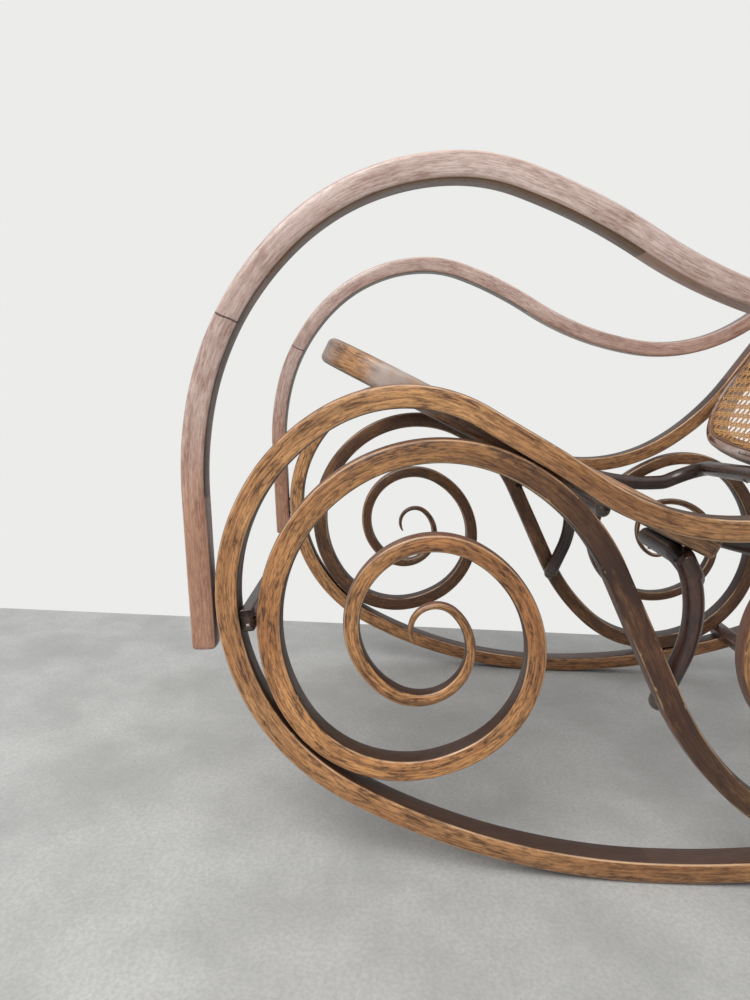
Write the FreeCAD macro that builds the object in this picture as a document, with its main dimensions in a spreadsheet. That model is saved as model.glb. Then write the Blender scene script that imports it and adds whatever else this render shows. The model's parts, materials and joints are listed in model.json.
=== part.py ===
"""Bentwood rocking chair: bent side members, scrolls, arms, caned seat and caned back.

X runs across the chair, Y towards the back and Z up. The sitter faces -Y, and the left side
is +X. The origin lies on the floor, under the middle of the chair's bounding box.
"""
import FreeCAD, Part
import math
import os
import Sketcher

DOC = FreeCAD.newDocument("bentwood_rocking_chair")
SHEET = DOC.addObject("Spreadsheet::Sheet", "dimensions")
Vector = FreeCAD.Vector
Rotation = FreeCAD.Rotation
Placement = FreeCAD.Placement

# Driving dimensions, in millimetres and degrees
SIZES = {
    # overall: half the outer width, where the floor contact lies behind the origin
    "half_width": 280.0,
    "contact_back": -57.8,
    # side bow: runner, front loop, seat rail and upright in one bent length
    "bow_width": 29.0,
    "bow_thick": 22.0,
    "bow_round": 5.0,
    # arm: straight front end, arch, dip, and a lap on the upright
    "arm_thick": 23.0,
    "arm_round": 5.0,
    "arm_width_tip": 25.0,
    "arm_width_arch": 34.0,
    "arm_width_back": 26.0,
    "arm_front": 423.6,
    "arm_tip_height": 210.2,
    "arm_lean": 4.2,
    "arm_lap": 70.0,
    # scroll: spiral, strut, spiral
    "scroll_width": 27.0,
    "scroll_thick": 23.0,
    "scroll_coil_width": 20.0,
    "scroll_coil_thick": 15.0,
    "scroll_tip_width": 9.0,
    "scroll_tip_thick": 5.0,
    "scroll_tip_front": 231.2,
    "scroll_tip_height": 220.9,
    "scroll_tip_heading": 128.9,
    # caned seat
    "seat_front": 344.1,
    "seat_front_height": 481.4,
    "seat_slope": 24.3,
    "seat_depth": 434.0,
    "seat_thick": 25.4,
    "seat_bar": 46.0,
    "seat_front_round": 78.0,
    "seat_back_round": 14.0,
    "panel_round_least": 12.0,
    "seat_front_bend": 1500.0,
    "seat_back_bend": 3000.0,
    "cane_thick": 1.6,
    "spline_width": 4.0,
    "spline_depth": 6.0,
    "spline_inset": 9.0,
    # caned back
    "back_foot": -122.0,
    "back_head": 508.0,
    "back_proud": 7.5,
    "back_thick": 22.0,
    "back_bar": 24.0,
    "back_foot_round": 115.0,
    "back_head_round": 100.0,
    "back_foot_bend": 1000.0,
    "back_head_bend": 515.0,
    # stretchers, braces and the bow under the back
    "stretcher_front": -384.2,
    "stretcher_front_height": 240.9,
    "stretcher_front_tilt": 9.25,
    "stretcher_front_thick": 11.7,
    "stretcher_back": 293.7,
    "stretcher_back_height": 79.3,
    "stretcher_back_tilt": -70.75,
    "stretcher_back_thick": 15.0,
    "stretcher_depth": 21.0,
    "stretcher_setback": 2.0,
    "brace_radius": 10.0,
    "brace_foot": 6.0,
    "brace_foot_height": 168.0,
    "brace_knee": 42.0,
    "brace_knee_height": 262.0,
    "brace_knee_bend": 120.0,
    "brace_turn_bend": 24.0,
    "brace_seat": 399.0,
    "brace_left_reach": 143.0,
    "brace_right_reach": 25.0,
    "back_bow_radius": 11.0,
    "back_bow_spread": 236.0,
    "back_bow_dip": 104.0,
    "back_bow_dip_height": 316.0,
    "back_bow_rise": 169.0,
    "back_bow_rise_height": 322.0,
    "back_bow_corner": 222.0,
    "back_bow_corner_height": 348.0,
    "back_bow_middle": 196.6,
    "back_bow_middle_height": 362.9,
    "back_bow_dip_bend": 300.0,
    "back_bow_rise_bend": 40.0,
    "back_bow_corner_bend": 45.0,
    "back_bow_middle_bend": 400.0,
    "back_bow_foot": 361.0,
    # screws, and how far each one reaches or stands from the end of what it holds
    "screw_shank": 4.2,
    "screw_head": 8.4,
    "screw_head_height": 3.0,
    "screw_slot": 1.1,
    "screw_hold": 14.0,
    "arm_screw_length": 38.0,
    "arm_foot_screw": 32.5,
    "arm_foot_screw_pitch": 22.0,
    "arm_lap_screw": 16.0,
    "arm_lap_screw_pitch": 34.0,
    "scroll_screw_length": 36.0,
    "brace_screw_length": 34.0,
    "brace_screw_inset": 14.0,
    "seat_screw": 148.0,
    "seat_screw_pitch": 170.0,
    "back_screw": 40.0,
    "back_screw_pitch": 340.0,
    "bow_screw": 30.0,
    "bow_screw_back": 200.3,
    "bow_screw_height": 360.7,
    "bow_screw_heading": 56.4,
    "bow_screw_length": 34.0,
}

# Arcs are pairs of a signed radius and a turn, and a radius of 0 is a straight run of a length
TAIL_ARCS = [(914.0, 19.7), (1100.0, 9.8)]
BOW_ARCS = [(-631.0, 26.8), (-217.8, 56.7), (-184.9, 65.1), (-134.6, 59.2), (0.0, 66.0),
            (-800.0, 3.6), (232.0, 66.0), (350.0, 21.8), (0.0, 520.0)]
ARM_ARCS = [(0.0, 140.5), (-337.8, 15.3), (-263.4, 32.9), (-210.2, 42.7), (-166.5, 20.7),
            (-548.9, 12.4), (436.9, 23.5), (230.9, 32.0)]
SCROLL_ARCS = [(-23.7, 169.0), (-47.7, 168.3), (-76.0, 177.6), (-107.8, 120.1), (-143.1, 19.5),
               (-115.8, 69.7), (-161.0, 88.9), (-149.6, 59.6), (-192.7, 38.9), (0.0, 132.8),
               (290.9, 23.2), (154.2, 79.6), (160.7, 90.8), (108.6, 73.5), (221.7, 19.4),
               (101.3, 186.3), (72.9, 140.8), (45.7, 140.5), (22.9, 126.2)]


def fill_sheet():
    """Write the driving dimensions and the arcs of the bent members into the sheet."""
    cells = dict(SIZES)
    for member, arcs in (("tail", TAIL_ARCS), ("bow", BOW_ARCS), ("arm", ARM_ARCS),
                         ("scroll", SCROLL_ARCS)):
        for name, (radius, turn) in zip(arc_names(member, arcs), arcs):
            if radius:
                cells[name + "_bend"] = abs(radius)
            cells[name + "_run"] = turn
    for row, (name, value) in enumerate(cells.items(), start=1):
        SHEET.set("A%d" % row, name)
        SHEET.set("B%d" % row, str(value))
        SHEET.setAlias("B%d" % row, name)
    DOC.recompute()


def arc_names(member, arcs):
    """Name each arc of a member by a letter, because a digit would read as a cell address."""
    return ["%s_%s" % (member, chr(ord("a") + index)) for index in range(len(arcs))]


def size(name):
    """Read one driving dimension back from the sheet."""
    return float(SHEET.get(name))


def direction(angle):
    """Unit vector in the side view, at this angle from +Y towards +Z."""
    return Vector(0, math.cos(math.radians(angle)), math.sin(math.radians(angle)))


class Chain:
    """Tangent arcs and straight runs in the side view, from a start and a heading."""

    def __init__(self, start, heading, arcs, names):
        self.names = names
        self.arcs = arcs
        self.points = [start]
        self.headings = [heading]
        self.middles = []
        for radius, turn in arcs:
            self.step(radius, turn)

    def step(self, radius, turn):
        """Add one arc, or one straight run where the radius is 0."""
        point, heading = self.points[-1], self.headings[-1]
        if radius == 0:
            self.middles.append(point + direction(heading) * (turn / 2))
            self.points.append(point + direction(heading) * turn)
            self.headings.append(heading)
            return
        sign = 1 if radius > 0 else -1
        centre = point + direction(heading + 90) * radius
        self.middles.append(centre - direction(heading + sign * turn / 2 + 90) * radius)
        self.points.append(centre - direction(heading + sign * turn + 90) * radius)
        self.headings.append(heading + sign * turn)

    def edges(self):
        """The chain as edges, for a wire or a sketch."""
        made = []
        for (radius, turn), start, middle, end in zip(self.arcs, self.points, self.middles,
                                                      self.points[1:]):
            if radius:
                made.append(Part.Arc(start, middle, end))
            else:
                made.append(Part.LineSegment(start, end))
        return made


def plane_of(body, role):
    """One of the body's own origin planes."""
    return [plane for plane in body.Origin.OriginFeatures if plane.Role == role][0]


def new_body(name):
    """A body with its own label."""
    body = DOC.addObject("PartDesign::Body", name)
    body.Label = name
    return body


def sketch_on(body, name, role, offset=Placement()):
    """A sketch on an origin plane of its body, moved by an offset."""
    sketch = body.newObject("Sketcher::SketchObject", name)
    sketch.AttachmentSupport = [(plane_of(body, role), "")]
    sketch.MapMode = "FlatFace"
    sketch.AttachmentOffset = offset
    return sketch


def path_sketch(body, name, chain):
    """Draw a chain on the body's side plane, with its bends and turns bound to the sheet."""
    sketch = sketch_on(body, name, "YZ_Plane")
    to_sketch = FreeCAD.Matrix(0, 1, 0, 0, 0, 0, 1, 0, 1, 0, 0, 0, 0, 0, 0, 1)
    for edge in chain.edges():
        edge.transform(to_sketch)
        sketch.addGeometry(edge, False)
    for index, ((radius, turn), name) in enumerate(zip(chain.arcs, chain.names)):
        if radius and name:
            bind(sketch, Sketcher.Constraint("Radius", index, abs(radius)), name + "_bend")
        elif name:
            bind(sketch, Sketcher.Constraint("Distance", index, turn), name + "_run")
    for index in range(len(chain.arcs) - 1):
        end = 1 if chain.arcs[index][0] < 0 else 2
        start = 2 if chain.arcs[index + 1][0] < 0 else 1
        sketch.addConstraint(Sketcher.Constraint("Tangent", index, end, index + 1, start))
    return sketch


def bind(target, constraint, cell):
    """Add a constraint and bind its value to a cell of the sheet."""
    index = target.addConstraint(constraint)
    target.setExpression("Constraints[%d]" % index, "dimensions.%s" % cell)


def rounded_rectangle(sketch, width, thick, corner, cells):
    """Draw a rounded rectangle round the sketch's origin, bound to three cells."""
    across, high = width / 2, thick / 2
    corner = min(corner, 0.45 * width, 0.45 * thick)
    normal = Vector(0, 0, 1)
    corners = [(1, -1, 270), (1, 1, 0), (-1, 1, 90), (-1, -1, 180)]
    for x_sign, y_sign, start in corners:
        centre = Vector(x_sign * (across - corner), y_sign * (high - corner), 0)
        circle = Part.Circle(centre, normal, corner)
        first = math.radians(start)
        sketch.addGeometry(Part.ArcOfCircle(circle, first, first + math.pi / 2), False)
    for index in range(4):
        here = sketch.Geometry[index].EndPoint
        there = sketch.Geometry[(index + 1) % 4].StartPoint
        sketch.addGeometry(Part.LineSegment(here, there), False)
    for index in range(4):
        line = 4 + index
        sketch.addConstraint(Sketcher.Constraint("Tangent", index, 2, line, 1))
        sketch.addConstraint(Sketcher.Constraint("Tangent", line, 2, (index + 1) % 4, 1))
    for index in range(1, 4):
        sketch.addConstraint(Sketcher.Constraint("Equal", 0, index))
    sketch.addConstraint(Sketcher.Constraint("Vertical", 4))
    sketch.addConstraint(Sketcher.Constraint("Symmetric", 0, 3, 2, 3, -1, 1))
    sketch.addConstraint(Sketcher.Constraint("Radius", 0, corner))
    bind(sketch, Sketcher.Constraint("DistanceX", 6, 1, 4, 2, width), cells[0])
    bind(sketch, Sketcher.Constraint("DistanceY", 7, 1, 5, 2, thick), cells[1])


def section(body, name, chain, index, cells, corner):
    """Draw the member's section square to its path, at the start of one arc."""
    point, heading = chain.points[index], chain.headings[index]
    x_axis, normal = Vector(1, 0, 0), direction(heading)
    turned = Rotation(x_axis, normal.cross(x_axis), normal, "ZXY")
    sketch = sketch_on(body, name, "XY_Plane", Placement(point, turned))
    rounded_rectangle(sketch, size(cells[0]), size(cells[1]), corner, cells)
    return sketch


def bent_member(name, chain, stations, corner):
    """Sweep a rounded section along a chain, through one section at each station."""
    body = new_body(name)
    path = path_sketch(body, name + "_path", chain)
    sections = [section(body, "%s_section_%d" % (name, order), chain, index, cells, corner)
                for order, (index, cells) in enumerate(stations)]
    DOC.recompute()
    pipe = body.newObject("PartDesign::AdditivePipe", name + "_sweep")
    pipe.Profile = sections[0]
    pipe.Spine = (path, [""])
    if len(sections) > 1:
        pipe.Transformation = "Multisection"
        pipe.Sections = [(other, [""]) for other in sections[1:]]
    DOC.recompute()
    return body


def outline(half_width, foot, head, foot_round, head_round, foot_bend, head_bend):
    """A closed panel outline: straight sides, round corners, and a bowed foot and head."""
    foot_centre = foot + foot_bend
    head_centre = head - head_bend
    foot_reach, head_reach = half_width - foot_round, half_width - head_round
    foot_corner = foot_centre - math.sqrt((foot_bend - foot_round) ** 2 - foot_reach ** 2)
    head_corner = head_centre + math.sqrt((head_bend - head_round) ** 2 - head_reach ** 2)
    foot_angle = math.atan2(foot_corner - foot_centre, foot_reach)
    head_angle = math.atan2(head_corner - head_centre, head_reach)

    def on_foot(side, angle):
        return Vector(side * (foot_reach + foot_round * math.cos(angle)),
                      foot_corner + foot_round * math.sin(angle), 0)

    def on_head(side, angle):
        return Vector(side * (head_reach + head_round * math.cos(angle)),
                      head_corner + head_round * math.sin(angle), 0)

    return [Part.Arc(on_foot(1, foot_angle), on_foot(1, foot_angle / 2), on_foot(1, 0)),
            Part.LineSegment(on_foot(1, 0), on_head(1, 0)),
            Part.Arc(on_head(1, 0), on_head(1, head_angle / 2), on_head(1, head_angle)),
            Part.Arc(on_head(1, head_angle), Vector(0, head, 0), on_head(-1, head_angle)),
            Part.Arc(on_head(-1, head_angle), on_head(-1, head_angle / 2), on_head(-1, 0)),
            Part.LineSegment(on_head(-1, 0), on_foot(-1, 0)),
            Part.Arc(on_foot(-1, 0), on_foot(-1, foot_angle / 2), on_foot(-1, foot_angle)),
            Part.Arc(on_foot(-1, foot_angle), Vector(0, foot, 0), on_foot(1, foot_angle))]


class Panel:
    """A flat caned frame: its outlines grow from the opening outwards."""

    def __init__(self, name, foot, head, rounds, bends, placement):
        self.name = name
        self.sizes = (foot, head) + rounds + bends
        self.bar = size(name + "_bar")
        self.thick = size(name + "_thick")
        self.placement = placement

    def inset(self, amount):
        """The outline, moved in from the outer edge."""
        foot, head, foot_round, head_round, foot_bend, head_bend = self.sizes
        least = size("panel_round_least")
        return outline(inner_face() - amount, foot + amount, head - amount,
                       max(foot_round - amount, least), max(head_round - amount, least),
                       foot_bend - amount, head_bend - amount)

    def slab(self, body, name, height, insets, kind, cell):
        """Pad or pocket the area between two outlines, from a height above the rear face."""
        lift = Placement(Vector(0, 0, height), Rotation())
        sketch = sketch_on(body, name + "_sketch", "XY_Plane", lift)
        for amount in insets:
            closed_outline(sketch, self.inset(amount))
        DOC.recompute()
        feature = body.newObject(kind, name)
        feature.Profile = sketch
        feature.setExpression("Length", "dimensions.%s" % cell)
        DOC.recompute()
        return feature

    def frame(self):
        """The bent frame, rebated for the cane and grooved for the spline."""
        body = new_body(self.name + "_frame")
        rebate = self.bar - size("spline_inset")
        groove = rebate - size("spline_width")
        self.slab(body, self.name + "_ring", 0, (0, self.bar), "PartDesign::Pad",
                  self.name + "_thick")
        self.slab(body, self.name + "_rebate", self.thick, (rebate, self.bar),
                  "PartDesign::Pocket", "cane_thick")
        self.slab(body, self.name + "_groove", self.thick, (groove, rebate),
                  "PartDesign::Pocket", "spline_depth")
        body.Placement = self.placement
        return body

    def cane(self):
        """The sheet of woven cane, flush with the face of the frame."""
        body = new_body(self.name + "_cane")
        rebate = self.bar - size("spline_inset")
        self.slab(body, self.name + "_sheet", self.thick - size("cane_thick"), (rebate,),
                  "PartDesign::Pad", "cane_thick")
        body.Placement = self.placement
        return body

    def spline(self):
        """The reed spline that wedges the cane into its groove."""
        body = new_body(self.name + "_spline")
        rebate = self.bar - size("spline_inset")
        groove = rebate - size("spline_width")
        self.slab(body, self.name + "_reed", self.thick - size("spline_depth"), (groove, rebate),
                  "PartDesign::Pad", "spline_depth")
        body.Placement = self.placement
        return body


def closed_outline(sketch, pieces):
    """Add a closed run of lines and arcs to a sketch, joined end to end."""
    first = len(sketch.Geometry)
    for piece in pieces:
        sketch.addGeometry(piece, False)
    ends = []
    for index, piece in enumerate(pieces):
        start = sketch.getPoint(first + index, 1)
        forward = start.distanceToPoint(piece.StartPoint) < 0.01
        ends.append((1, 2) if forward else (2, 1))
    for index in range(len(pieces)):
        other = (index + 1) % len(pieces)
        sketch.addConstraint(Sketcher.Constraint("Coincident", first + index, ends[index][1],
                                                 first + other, ends[other][0]))


def rounded_path(points, radii):
    """Straight runs joined by tangent arcs, one radius for each inner point."""
    edges = []
    here = points[0]
    for before, corner, after, radius in zip(points, points[1:], points[2:], radii):
        back = (before - corner).normalize()
        ahead = (after - corner).normalize()
        half = back.getAngle(ahead) / 2
        reach = radius / math.tan(half)
        bisector = (back + ahead).normalize()
        middle = corner + bisector * (radius / math.sin(half) - radius)
        start = corner + back * reach
        end = corner + ahead * reach
        edges.append(Part.LineSegment(here, start).toShape())
        edges.append(Part.Arc(start, middle, end).toShape())
        here = end
    edges.append(Part.LineSegment(here, points[-1]).toShape())
    return Part.Wire(edges)


def round_rod(name, points, radii, radius, round_ends):
    """A round bent rod along straight runs and arcs, its free ends turned to a dome."""
    path = rounded_path(points, radii)
    start_run = points[1] - points[0]
    circle = Part.Wire([Part.Circle(points[0], start_run, radius).toShape()])
    rod = path.makePipeShell([circle], True, False)
    for end in round_ends:
        rod = rod.fuse(Part.makeSphere(radius, points[end]))
    solid = rod.removeSplitter()
    node = DOC.addObject("Part::Feature", name)
    node.Shape = solid.Solids[0]
    node.Label = name
    return node


def screw_shape(length, slotted):
    """A countersunk wood screw along +Z, its head flush at the origin, with or without a slot."""
    head, shank = size("screw_head") / 2, size("screw_shank") / 2
    cone = Part.makeCone(head, shank, size("screw_head_height"))
    body = cone.fuse(Part.makeCylinder(shank, length)).removeSplitter()
    if slotted:
        slot = size("screw_slot")
        body = body.cut(Part.makeBox(2 * head, slot, slot, Vector(-head, -slot / 2, 0)))
    return body


def screws(name, places):
    """Group of separate screws; each place is a head point, a direction and a length."""
    node = DOC.addObject("Part::Feature", name)
    node.Label = name
    made = []
    cutters = []
    for point, along, length in places:
        placed = Placement(point, Rotation(Vector(0, 0, 1), along))
        for slotted, group in ((True, made), (False, cutters)):
            shape = screw_shape(length, slotted)
            shape.Placement = placed
            group.append(shape)
    node.Shape = Part.makeCompound(made)
    CUTTERS.extend(cutters)
    return node


CUTTERS = []


def both_sides(places):
    """Repeat places on the left side, mirrored, on the right side."""
    mirrored = [(Vector(-point.x, point.y, point.z), Vector(-along.x, along.y, along.z), length)
                for point, along, length in places]
    return places + mirrored


def drilled(base, name):
    """The member with the holes of the screws that pass through it."""
    DOC.recompute()
    box = base.Shape.BoundBox
    tools = [cutter for cutter in CUTTERS if box.intersect(cutter.BoundBox)
             and base.Shape.distToShape(cutter)[0] < 1e-6]
    if not tools:
        base.Label = name
        return base
    base.Label = name + "_blank"
    holes = DOC.addObject("Part::Feature", name + "_holes")
    holes.Shape = Part.makeCompound(tools)
    cut = DOC.addObject("Part::Cut", name)
    cut.Base = base
    cut.Tool = holes
    cut.Label = name
    DOC.recompute()
    return cut


def mirror_of(node, name):
    """The same member on the other side of the chair."""
    other = DOC.addObject("Part::Mirroring", name)
    other.Source = node
    other.Normal = Vector(1, 0, 0)
    other.Label = name
    DOC.recompute()
    return other


def place(node, offset):
    """Move a member by an offset, on top of any placement it has."""
    node.Placement = Placement(offset, Rotation()).multiply(node.Placement)


def side_middle():
    """How far out the middle of the side members lies."""
    return size("half_width") - size("bow_width") / 2


def inner_face():
    """How far out the inner faces of the side bows lie."""
    return size("half_width") - size("bow_width")


def side_bow_chain():
    """The path of the side bow, from the runner's rear tip to the top of the upright."""
    contact = Vector(0, 0, size("bow_thick") / 2)
    tail_names = arc_names("tail", TAIL_ARCS)
    tail = Chain(contact, 0, TAIL_ARCS, tail_names)
    to_contact = [(-radius, turn) for radius, turn in reversed(TAIL_ARCS)]
    names = tail_names[::-1] + arc_names("bow", BOW_ARCS)
    return Chain(tail.points[-1], tail.headings[-1] + 180, to_contact + BOW_ARCS, names)


def arm_chain(lean, upright_foot):
    """The path of the arm, whose last bend brings it flat against the front of the upright."""
    start = Vector(0, -size("arm_front"), size("arm_tip_height"))
    heading = 90 + size("arm_lean")
    names = arc_names("arm", ARM_ARCS)
    free = Chain(start, heading, ARM_ARCS, names)
    forward = direction(lean + 90)
    lap_line = upright_foot + forward * (size("bow_thick") + size("arm_thick")) * 0.5
    turn = lean - free.headings[-1]
    bend = (free.points[-1] - lap_line).dot(forward) / (1 - math.cos(math.radians(turn)))
    lap = [(bend, turn), (0.0, size("arm_lap"))]
    return Chain(start, heading, ARM_ARCS + lap, names + [None, None])


def arm_stations():
    """Where the arm's section changes: narrow at both ends, wide over the arch."""
    tip, arch, back = [("arm_width_" + where, "arm_thick") for where in ("tip", "arch", "back")]
    return [(0, tip), (1, tip), (3, arch), (6, arch), (8, back), (10, back)]


def scroll_stations():
    """Where the scroll's section changes: it tapers through the coils to both tips."""
    tip, coil, full = [("scroll_%swidth" % part, "scroll_%sthick" % part)
                       for part in ("tip_", "coil_", "")]
    return [(0, tip), (2, coil), (6, full), (12, full), (16, coil), (19, tip)]


def stretcher(name, where):
    """A square bar right across the chair, held between the side bows and the scrolls."""
    thick, depth = size("stretcher_%s_thick" % where), size("stretcher_depth")
    half = size("half_width") - size("stretcher_setback")
    bar = DOC.addObject("Part::Box", name)
    bar.Label = name
    bar.Length = 2 * half
    bar.Width = thick
    bar.Height = depth
    bar.setExpression("Width", "dimensions.stretcher_%s_thick" % where)
    bar.setExpression("Height", "dimensions.stretcher_depth")
    middle = Vector(0, size("stretcher_" + where), size("stretcher_%s_height" % where))
    turn = Rotation(Vector(1, 0, 0), size("stretcher_%s_tilt" % where))
    bar.Placement = Placement(middle - turn.multVec(Vector(half, thick / 2, depth / 2)), turn)
    return bar


def seat_brace(name, sign, reach, under):
    """A round brace from the inner face of a scroll's strut, turned in under the seat."""
    rod = size("brace_radius")
    across = sign * (side_middle() - size("scroll_width") / 2 - rod)
    foot = Vector(across, size("brace_foot"), size("brace_foot_height"))
    knee = Vector(across, size("brace_knee"), size("brace_knee_height"))
    turn_in = Vector(across, under.y, under.z)
    tip_end = Vector(sign * size(reach), under.y, under.z)
    bends = [size("brace_knee_bend"), size("brace_turn_bend")]
    return round_rod(name, [foot, knee, turn_in, tip_end], bends, rod, (0, -1))


def back_bow(start):
    """The round bow behind the seat: doweled into the seat, it carries the foot of the back."""
    spread = size("back_bow_spread")
    middle = Vector(0, size("back_bow_middle"), size("back_bow_middle_height"))
    left = [Vector(spread, start.y, start.z),
            Vector(spread, size("back_bow_dip"), size("back_bow_dip_height")),
            Vector(spread, size("back_bow_rise"), size("back_bow_rise_height")),
            Vector(spread, size("back_bow_corner"), size("back_bow_corner_height"))]
    right = [Vector(-point.x, point.y, point.z) for point in reversed(left)]
    bends = [size("back_bow_%s_bend" % where) for where in ("dip", "rise", "corner")]
    return round_rod("back_bow", left + [middle] + right,
                     bends + [size("back_bow_middle_bend")] + bends[::-1],
                     size("back_bow_radius"), ())


def pair_along(name):
    """The places of two screws in a row, from the cells of that name."""
    first = size(name)
    return (first, first + size(name + "_pitch"))


def arm_screw_places(bow, arm):
    """Two screws in the foot of each arm, driven back, and two in its lap, driven back too."""
    up, forward = direction(bow.headings[-1]), direction(bow.headings[-1] + 90)
    foot_up, foot_forward = direction(arm.headings[0]), direction(arm.headings[0] + 90)
    half_arm = size("arm_thick") / 2
    length = size("arm_screw_length")
    foot = arm.points[0] + foot_forward * half_arm
    lap = arm.points[-2] + forward * half_arm
    places = [(foot + foot_up * rise, -foot_forward, length) for rise in pair_along("arm_foot_screw")]
    return places + [(lap + up * rise, -forward, length) for rise in pair_along("arm_lap_screw")]


def scroll_screw_places():
    """One screw at each touch of scroll and side bow, driven from inside the scroll."""
    half_scroll = size("scroll_thick") / 2
    return [(Vector(0, point[0], point[1]) - direction(angle) * half_scroll, direction(angle),
             size("scroll_screw_length")) for point, angle in SCROLL_CONTACTS]


def stretcher_screw_places():
    """One screw at each end of each stretcher, through the scroll and the bar into the bow."""
    places = []
    for where, side in (("front", -1), ("back", 1)):
        middle = Vector(0, size("stretcher_" + where), size("stretcher_%s_height" % where))
        thick = size("stretcher_%s_thick" % where)
        way = direction(size("stretcher_%s_tilt" % where)) * side
        inside = middle - way * (thick / 2 + size("scroll_thick"))
        places.append((inside, way, size("scroll_thick") + thick + size("screw_hold")))
    return places


def brace_screws(under):
    """A screw sideways into each scroll's strut, and one up into the rear bar of the seat."""
    rod, length = size("brace_radius"), size("brace_screw_length")
    out = Vector(1, 0, 0)
    across = side_middle() - size("scroll_width") / 2 - 2 * rod
    foot = Vector(across, size("brace_foot"), size("brace_foot_height"))
    places = both_sides([(foot, out, length)])
    for sign, reach in ((1, "brace_left_reach"), (-1, "brace_right_reach")):
        inward = size(reach) + size("brace_screw_inset")
        below = Vector(sign * inward, under.y, under.z - rod)
        places.append((below, Vector(0, 0, 1), length))
    return screws("brace_screws", places)


def bow_screws():
    """Two screws up through the middle of the back bow into the foot of the caned back."""
    way = direction(size("bow_screw_heading"))
    inside = Vector(size("bow_screw"), size("bow_screw_back"), size("bow_screw_height"))
    below = inside - way * size("back_bow_radius")
    return screws("bow_screws", both_sides([(below, way, size("bow_screw_length"))]))


def panel_screws(name, panel, depth, tapped):
    """Screws from inside the frame of a panel into the side bows, at a share of its thickness."""
    inside = inner_face() - panel.bar
    length = panel.bar + size("screw_hold")
    places = [(panel.placement.multVec(Vector(inside, along, panel.thick * depth)),
               Vector(1, 0, 0), length) for along in tapped]
    return screws(name, both_sides(places))


def add_screws(bow, arm, under, seat, back):
    """All the screws, grouped by what they hold; each group is one node."""
    out = Vector(side_middle(), 0, 0)
    made = [screws(name, both_sides([(point + out, along, length)
                                     for point, along, length in places]))
            for name, places in (("arm_screws", arm_screw_places(bow, arm)),
                                 ("scroll_screws", scroll_screw_places()),
                                 ("stretcher_screws", stretcher_screw_places()))]
    return made + [brace_screws(under), bow_screws(),
                   panel_screws("seat_screws", seat, 0.42, pair_along("seat_screw")),
                   panel_screws("back_screws", back, 0.45, pair_along("back_screw"))]


# Where the scroll lies against the side bow: its centre there, and the way to the bow
SCROLL_CONTACTS = [((-314.0, 124.0), 218.0), ((-142.0, 381.0), 63.0), ((206.0, 57.0), 282.0)]


def build():
    """Build every sub-part; each is keyed by its node name."""
    fill_sheet()
    side = Vector(side_middle(), 0, 0)
    bow = side_bow_chain()
    side_bow = bent_member("side_bow", bow, [(0, ("bow_width", "bow_thick"))], size("bow_round"))
    arm = arm_chain(bow.headings[-1], bow.points[-2])
    arm_body = bent_member("arm", arm, arm_stations(), size("arm_round"))
    start = Vector(0, -size("scroll_tip_front"), size("scroll_tip_height"))
    scroll = Chain(start, size("scroll_tip_heading"), SCROLL_ARCS, arc_names("scroll", SCROLL_ARCS))
    scroll_body = bent_member("scroll", scroll, scroll_stations(), size("bow_round"))
    for member in (side_bow, arm_body, scroll_body):
        place(member, side)

    seat_turn = Rotation(Vector(1, 0, 0), -size("seat_slope"))
    seat_corner = Vector(0, -size("seat_front"), size("seat_front_height"))
    seat = Panel("seat", 0, size("seat_depth"), (size("seat_front_round"), size("seat_back_round")),
                 (size("seat_front_bend"), size("seat_back_bend")),
                 Placement(seat_corner, seat_turn))
    lean = bow.headings[-1]
    rear_face = size("back_proud") - size("back_thick")
    back = Panel("back", size("back_foot"), size("back_head"),
                 (size("back_foot_round"), size("back_head_round")),
                 (size("back_foot_bend"), size("back_head_bend")),
                 Placement(bow.points[-2] + direction(lean + 90) * rear_face,
                           Rotation(Vector(1, 0, 0), lean)))

    under = seat.placement.multVec(Vector(0, size("brace_seat"), -size("brace_radius")))
    bow_start = seat.placement.multVec(Vector(0, size("back_bow_foot"), size("seat_thick") / 2))
    left_brace = seat_brace("left_brace_rod", 1, "brace_left_reach", under)
    right_brace = seat_brace("right_brace_rod", -1, "brace_right_reach", under)
    bow_rod = back_bow(bow_start)
    fasteners = add_screws(bow, arm, under, seat, back)

    seat_frame = seat.frame()
    seat_bored = DOC.addObject("Part::Cut", "seat_frame_bored")
    seat_bored.Base = seat_frame
    seat_bored.Tool = bow_rod
    DOC.recompute()
    nodes = {
        "left_side_bow": drilled(side_bow, "left_side_bow"),
        "left_arm": drilled(arm_body, "left_arm"),
        "left_scroll": drilled(scroll_body, "left_scroll"),
        "left_seat_brace": drilled(left_brace, "left_seat_brace"),
        "right_seat_brace": drilled(right_brace, "right_seat_brace"),
        "seat_frame": drilled(seat_bored, "seat_frame"),
        "seat_cane": seat.cane(),
        "seat_spline": seat.spline(),
        "back_frame": drilled(back.frame(), "back_frame"),
        "back_cane": back.cane(),
        "back_spline": back.spline(),
        "back_bow": drilled(bow_rod, "back_bow"),
        "front_stretcher": drilled(stretcher("front_bar", "front"), "front_stretcher"),
        "rear_stretcher": drilled(stretcher("rear_bar", "back"), "rear_stretcher"),
    }
    for member in ("side_bow", "arm", "scroll"):
        nodes["right_" + member] = mirror_of(nodes["left_" + member], "right_" + member)
    for group in fasteners:
        nodes[group.Label] = group
    return nodes


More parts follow.
